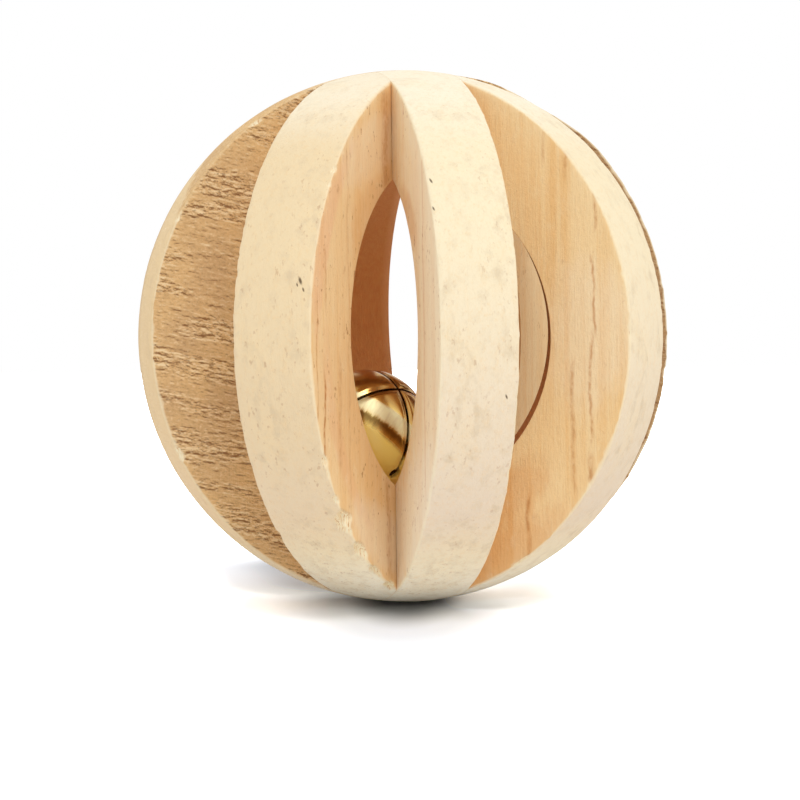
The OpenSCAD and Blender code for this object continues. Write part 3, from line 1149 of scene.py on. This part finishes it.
        # Painted shade: the rough-faced ring's rim darker towards its outer side, where it turns away
        shaded_side = self.span(self.across, -0.5, -4.0, 0, 0.45) if rough else 0
        dulled = 0.34 if rough else self.span(self.grain["fuzz"], 0.46, 0.80, 0, 0.34)
        return self.lay(
            looks.rim_pale,
            # Painted shade: the rim darkens from its upper part downwards
            (self.span(up, 16, -22), looks.rim_low),
            (self.times(warm_above, warm_below, self.shades.rim_warmth), looks.rim_warm),
            # Painted light: the upper rim colour comes back at the bottom
            (self.span(up, -18, -26), looks.rim_pale),
            # Painted light near the poles, strongest at the bottom
            (self.span(up, 18, 27, 0, 0.4), looks.painted_light),
            (self.span(up, -22, -28, 0, 0.8), looks.painted_light),
            (shaded_side, looks.groove_shade),
            (self.span(blotch, 0.45, 0.75, 0, 0.20), looks.face),
            (smudge, looks.rim_grey),
            (dulled, looks.face_dark),
            (self.span(self.grain["layers"], 0.50, 0.80, 0, 0.12), looks.face_dark),
            (self.times(fleck, handled), looks.resin),
            *[(hole, looks.speck) for hole in self.pinholes()],
        )

    def hole_wall(self, rough):
        """Wall of the sawn hole, darker the more the saw burnt it. It has a darker upper
        part of painted shade on the rough-faced ring and a pinkish edge on the other boards."""
        looks = self.looks
        burn = self.shades.wall_burn
        if rough:
            # Painted shade on the upper part of the rough-faced ring's hole wall
            edge = (self.span(self.up, -8, 2, 0.3, 0.8), looks.groove_shade)
        else:
            edge = (self.times(self.span(self.across, -2.9, -3.9), burn), looks.pink)
        return self.lay(
            looks.wall,
            (burn, looks.wall_dark),
            (self.span(self.grain["fibre"], 0.35, 0.70, 0, 0.25), looks.face_dark),
            edge,
        )

    def torn_corner(self):
        """Where the torn face runs on over the arris onto the rim, on the upper part of
        the side that the heading points to: a strip that widens upwards, with ragged
        edges, and keeps off the far arris and the pole."""
        up = self.math("MINIMUM", self.up, 21.5)
        ragged = self.math("MULTIPLY_ADD", self.grain["patch"], 6, self.across)
        strip = self.span(self.math("MULTIPLY_ADD", up, 0.8, ragged), 17.4, 19.0)
        below_pole = self.math("MULTIPLY_ADD", self.grain["fleck"], 9, self.back)
        return self.times(strip, self.span(below_pole, -3, -9))


def wood_material(name, board, looks):
    """Bare softwood of one board: its faces, torn ones on the full ring, its rim, its
    hole's wall, arrises made paler as a painted highlight, and fresh wood where a chip has broken out."""
    rough = board.whole
    wood = Softwood(name, board.heading, looks)
    fibre = wood.grain["fibre"]
    fuzz = wood.grain["fuzz"]
    on_rim = wood.attribute("rim")
    arris = wood.attribute("arris")
    face = wood.rough_face() if rough else wood.sawn_face()
    colour = wood.lay(face, (on_rim, wood.rim(rough)), (wood.attribute("wall"), wood.hole_wall(rough)))
    if rough:
        corner = wood.torn_corner()
        colour = wood.mix(wood.times(corner, on_rim), colour, face)
        arris = wood.times(arris, wood.math("SUBTRACT", 1, corner))
        fuzz = wood.math("MULTIPLY_ADD", wood.torn_noise(FIBRES), 3, fuzz)
    broken = wood.lay(
        looks.rim_pale,
        (wood.span(fibre, 0.42, 0.58), looks.splinter_and_light),
        (wood.span(fibre, 0.58, 0.68, 0, 0.8), looks.streak),
    )
    # Painted highlight: paler arrises, as light catches their rounding
    colour = wood.lay(
        colour, (wood.times(arris, 0.55), looks.rim_pale), (wood.attribute("chip"), broken)
    )
    height = wood.math("MULTIPLY_ADD", fuzz, 1.2, fibre)
    return wood.end("BsdfPrincipled", {
        "Base Color": colour,
        "Roughness": wood.span(fibre, 0.3, 0.7, 0.62, 0.8),
        "Specular IOR Level": 0.3,
        "Normal": wood.bump(height, 0.6, 0.12),
    })


# How the pale band of painted reflection round the bell's shell lies: the tilt of its
# axis from upright, the heading of that tilt round +Z, and the band's height along the axis
BAND_TILT = math.radians(39)
BAND_TURN = math.radians(46.5)
BAND_HEIGHT = 0.2


def brass_material(looks, name, banded):
    """Polished sheet brass with brown tarnish clouds. On the shell it has painted
    reflections: brown above a pale band that is streaked across its length, a dark line
    below it and lighter, less metallic brass lower down."""
    nodes = Nodes(bpy.data.materials.new(name))
    lying = {
        "Vector": nodes.place(),
        "Location": np.mean(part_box("bell_shell"), axis=0),
        "Rotation": (0, BAND_TILT, BAND_TURN),
        "Scale": (MM, MM, MM),
    }
    ball = nodes.add("Mapping", lying, vector_type="TEXTURE").outputs[0]
    cloud = nodes.noise(nodes.stretch(ball, (0.26, 0.26, 0.26)), detail=3)
    scratch = nodes.noise(nodes.stretch(ball, (2.6, 2.6, 0.5)), detail=3, roughness=0.6)
    colour = nodes.mix(nodes.span(cloud, 0.4, 0.75, 0.05, 0.6), looks.brass, looks.tarnish_and_reflection)
    roughness = nodes.span(cloud, 0.3, 0.7, 0.16, 0.28)
    metallic = 1
    if banded:
        # Painted reflections on the shell: a pale band, a dark line below it and lighter brass lower
        # down
        height = nodes.math("SUBTRACT", nodes.split(ball)["Z"], BAND_HEIGHT)
        ragged = nodes.math("MULTIPLY_ADD", nodes.math("SUBTRACT", scratch, 0.5), 0.8, height)
        band = nodes.times(nodes.span(ragged, -1.25, -0.55), nodes.span(height, 1, 0.5))
        line = nodes.times(nodes.span(ragged, -2.3, -1.4), nodes.span(ragged, -0.8, -1.3))
        # Painted reflection: lighter, less metallic brass lower down
        below = nodes.span(height, -1.9, -2.6)
        band_colour = nodes.mix(nodes.span(scratch, 0.56, 0.36, 0, 0.15), looks.band_reflection, looks.tarnish_and_reflection)
        colour = nodes.lay(
            colour,
            # Painted reflection of brown wood above the band
            (nodes.span(height, 0.8, 1.5, 0, 0.6), looks.tarnish_and_reflection),
            (below, looks.bright),
            (nodes.times(line, 0.75), looks.dark_reflection),
            (nodes.times(band, 0.95), band_colour),
        )
        roughness = nodes.math("MULTIPLY_ADD", band, 0.25, roughness)
        roughness = nodes.math("MULTIPLY_ADD", below, 0.12, roughness)
        metallic = nodes.math("MULTIPLY_ADD", band, -0.15, nodes.math("SUBTRACT", 1, below))
    return nodes.end("BsdfPrincipled", {
        "Base Color": colour,
        "Metallic": metallic,
        "Roughness": roughness,
        "Normal": nodes.bump(scratch, 0.3, 0.03),
    })


def steel_material(looks):
    """Dull steel ball with small rust-brown spots."""
    nodes = Nodes(bpy.data.materials.new("pellet_steel"))
    spot = nodes.noise(nodes.stretch(nodes.place(), (900, 900, 900)), detail=3)
    return nodes.end("BsdfPrincipled", {
        "Base Color": nodes.mix(nodes.span(spot, 0.55, 0.8, 0, 0.5), looks.steel, looks.rust),
        "Metallic": 1,
        "Roughness": nodes.span(spot, 0.3, 0.7, 0.3, 0.5),
    })


def finish_piece(piece, material, slot, *replaced):
    """Gives a piece its material, and where it stands in for frame parts, hides them and gives it a
    body. Its slot is not used.
    """
    piece.data.materials.clear()
    piece.data.materials.append(material)
    if replaced:
        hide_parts(*replaced)
        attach(piece, "root")


# ---------------------------------------------------------------- studio


# Shade of the floor under the lamps, its tint where the camera sees it, which is a little
# cool against the warm light that comes off the wood, and half its side in metres
FLOOR_SHADE = 0.94
FLOOR_TINT = (0.96, 1.0, 1.07)
FLOOR_HALF = 1.5


def aim(obj, location, target, roll=0.0):
    """Places a lamp or the camera and turns it to its target, leaning by roll."""
    location = np.array(location, float)
    ahead = np.array(target, float) - location
    ahead /= np.linalg.norm(ahead)
    side = np.cross(ahead, (0, 0, 1))
    side /= np.linalg.norm(side)
    up = np.cross(side, ahead)
    lean_up = math.cos(roll) * up + math.sin(roll) * side
    lean_side = math.cos(roll) * side - math.sin(roll) * up
    matrix = np.eye(4)
    matrix[:3] = np.stack([lean_side, lean_up, -ahead, location], 1)
    obj.matrix_world = Matrix(matrix.tolist())


def white_world(strength):
    """Light from all round at the given strength, and plain white wherever the camera, a
    reflection or a look through glass meets it."""
    world = bpy.data.worlds.new("studio")
    bpy.context.scene.world = world
    nodes = Nodes(world)
    rays = nodes.add("LightPath").outputs
    seen = nodes.plus(rays["Is Camera Ray"], rays["Is Glossy Ray"], rays["Is Transmission Ray"])
    levels = {"Value": seen, "To Min": strength, "To Max": 1}
    level = nodes.add("MapRange", levels).outputs["Result"]
    nodes.end("Background", {"Color": (1, 1, 1, 1), "Strength": level}, "World")


def floor_material(gain, heading):
    """Matt pale floor that keeps the ball's shadow and is exposed to white around it. As
    the camera sees it, a painted shadow darkens it in an oval under the ball, which has its
    lighter part just right of the foot, and in a wedge on the left, where the shadow falls.
    Each place takes the darker of the two. Distances are in millimetres from the axis, to
    the right of the camera's view and back along it."""
    nodes = Nodes(bpy.data.materials.new("studio_floor"))
    turned = nodes.stretch(nodes.place(), (1 / MM, 1 / MM, 0), turn=(0, 0, -heading))
    right, back, _ = nodes.split(turned)
    out = nodes.length(nodes.math("MULTIPLY_ADD", right, 3.6, 1.8), back)
    # Painted shadow in an oval under the ball
    oval = nodes.plus(
        nodes.span(out, 7, 26, 0.12, 0.37),
        nodes.span(out, 25, 60, 0, 0.33),
        nodes.span(out, 60, 80, 0, 0.30),
        nodes.times(
            nodes.span(right, 3.5, 6.5), nodes.span(right, 15, 6), nodes.span(back, -9, 0, 0, 0.55)
        ),
    )
    # Painted shadow in a wedge on the left
    left = nodes.math("MULTIPLY_ADD", back, -0.2, nodes.times(right, -1))
    front = nodes.math("MULTIPLY_ADD", back, 1.2, -19)
    wide = nodes.length(nodes.math("MAXIMUM", left, 0), nodes.math("MINIMUM", front, 0))
    wedge = nodes.plus(
        nodes.span(wide, 9, 18, 0.26, 0.5),
        nodes.span(wide, 17, 24, 0, 0.5),
        nodes.span(right, -2, 3),
        nodes.span(back, 32, 68),
    )
    seen = nodes.math("MINIMUM", oval, wedge)
    camera = nodes.add("LightPath").outputs["Is Camera Ray"]
    shades = []
    for tint in FLOOR_TINT:
        level = nodes.math("MULTIPLY_ADD", seen, gain * tint, -FLOOR_SHADE)
        shades.append(nodes.math("MULTIPLY_ADD", camera, level, FLOOR_SHADE))
    colour = nodes.add("CombineColor", shades).outputs[0]
    return nodes.end("BsdfDiffuse", {"Color": colour})


def build_floor(studio):
    """A square floor at the ball's lowest point."""
    lowest = CAD_BOX[0][2]
    sides = [(-1, -1), (1, -1), (1, 1), (-1, 1)]
    corners = [(x * FLOOR_HALF, y * FLOOR_HALF, lowest) for x, y in sides]
    mesh = bpy.data.meshes.new("floor")
    mesh.from_pydata(corners, [], [(0, 1, 2, 3)])
    mesh.materials.append(floor_material(studio.floor_gain, studio.camera_heading))
    floor = plain_object("floor", mesh)


# ---------------------------------------------------------------- add-on


# Seeds of the wear: the full ring's, and those of the half-rings, which go up in steps
FULL_RING_SEED = 11
HALF_RING_SEED = 20
SEED_STEP = 5


class RATTLE_OT_full_ring(bpy.types.Operator):
    """Build the full ring with its torn, rough-sawn faces"""

    bl_idname = "rattle.full_ring"
    bl_label = "Full Ring"

    def execute(self, context):
        scene = context.scene
        board = make_boards(scene.rattle_sizes)["full_ring"]
        piece = build_ring("full_ring", board, scene.rattle_sizes, FULL_RING_SEED)
        material = wood_material("full_ring", board, scene.rattle_wood)
        finish_piece(piece, material, "wood", "full_ring")
        return {"FINISHED"}


class RATTLE_OT_half_rings(bpy.types.Operator):
    """Build the six half-rings"""

    bl_idname = "rattle.half_rings"
    bl_label = "Half-Rings"

    def execute(self, context):
        scene = context.scene
        for number, (name, board) in enumerate(make_boards(scene.rattle_sizes).items()):
            if board.whole:
                continue
            seed = HALF_RING_SEED + SEED_STEP * number
            piece = build_ring(name, board, scene.rattle_sizes, seed)
            material = wood_material(name, board, scene.rattle_wood)
            finish_piece(piece, material, "wood", name)
        return {"FINISHED"}


class RATTLE_OT_bell(bpy.types.Operator):
    """Build the bell's shell, and finish its loop and pellet"""

    bl_idname = "rattle.bell"
    bl_label = "Jingle Bell"

    def execute(self, context):
        scene = context.scene
        shell_brass = brass_material(scene.rattle_metal, "shell_brass", True)
        finish_piece(build_bell(scene.rattle_bell), shell_brass, "brass", "bell_shell")
        loop_brass = brass_material(scene.rattle_metal, "loop_brass", False)
        finish_piece(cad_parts["bell_loop"], loop_brass, "brass")
        steel = steel_material(scene.rattle_metal)
        finish_piece(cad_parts["bell_pellet"], steel, "steel")
        return {"FINISHED"}


class RATTLE_OT_studio(bpy.types.Operator):
    """Set up the floor, lamps and camera"""

    bl_idname = "rattle.studio"
    bl_label = "Studio"

    def execute(self, context):
        scene = context.scene
        studio = scene.rattle_studio
        build_floor(studio)
        white_world(studio.dome)

        light = bpy.data.lights.new("key", "SUN")
        light.energy = studio.key
        light.angle = studio.key_angle
        toward, _ = polar(studio.key_heading)
        place = toward * math.cos(studio.key_rise) + np.array([0, 0, math.sin(studio.key_rise)])
        aim(plain_object("key", light), place, (0, 0, 0))

        camera = plain_object("camera", bpy.data.cameras.new("camera"))
        camera.data.lens = studio.lens
        camera.data.sensor_width = 36
        camera.data.shift_x = studio.shift_x
        camera.data.shift_y = studio.shift_y
        camera.data.clip_start = 0.01
        camera.data.clip_end = 10
        out, _ = polar(studio.camera_heading)
        aim(camera, out * studio.camera_distance, (0, 0, 0), studio.camera_roll)
        scene.camera = camera
        scene.view_settings.view_transform = "Standard"
        return {"FINISHED"}


class RATTLE_PT_panel(bpy.types.Panel):
    """Lists the pieces in the order in which they are built"""

    bl_label = "Rattle Ball"
    bl_space_type = "VIEW_3D"
    bl_region_type = "UI"
    bl_category = "Rattle Ball"

    def draw(self, context):
        for operator in OPERATORS:
            self.layout.operator(operator.bl_idname)
        for key, group in SETTINGS.items():
            box = self.layout.box()
            box.label(text=group.__doc__)
            for name in group.__annotations__:
                box.prop(getattr(context.scene, key), name)


OPERATORS = [RATTLE_OT_full_ring, RATTLE_OT_half_rings, RATTLE_OT_bell, RATTLE_OT_studio]
CLASSES = [*SETTINGS.values(), *OPERATORS, RATTLE_PT_panel]


def register():
    """Registers the classes and gives the scene its settings."""
    for cls in CLASSES:
        bpy.utils.register_class(cls)
    for key, group in SETTINGS.items():
        setattr(bpy.types.Scene, key, bpy.props.PointerProperty(type=group))


def unregister():
    """Takes the settings and the classes away again."""
    for key in SETTINGS:
        delattr(bpy.types.Scene, key)
    for cls in reversed(CLASSES):
        bpy.utils.unregister_class(cls)


def main():
    """Builds every piece and the stage."""
    register()
    bpy.ops.rattle.full_ring()
    bpy.ops.rattle.half_rings()
    bpy.ops.rattle.bell()
    bpy.ops.rattle.studio()


if __name__ == "__main__":
    main()
